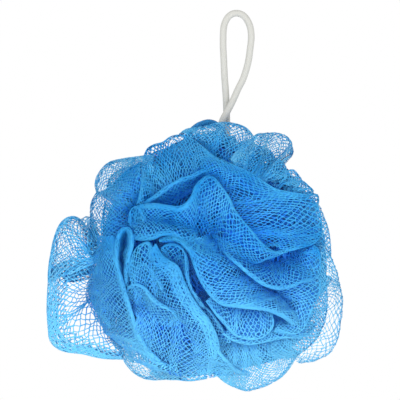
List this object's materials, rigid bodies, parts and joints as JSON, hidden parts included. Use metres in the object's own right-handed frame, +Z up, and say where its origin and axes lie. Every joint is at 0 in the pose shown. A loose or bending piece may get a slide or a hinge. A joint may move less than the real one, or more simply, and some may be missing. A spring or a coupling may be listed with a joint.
{
  "type": "mesh bath pouf",
  "caption": "Blue netting bath pouf, a gathered net tube fanned out into a ruffled ball, with an off-white braided cord hanging loop.",
  "frame": {"origin": "inner top of the cord loop, where a hook carries it", "axes": "+Z up through the hanging loop, +X across the netting's widest side, front of the netting towards -Y"},
  "size_m": [0.1481, 0.1253, 0.1906],
  "materials": {
    "blue_net": "satin",
    "white_cord": "matte"
  },
  "bodies": {
    "root": {"netting": "blue_net", "hanging_cord": "white_cord"}
  },
  "joints": []
}
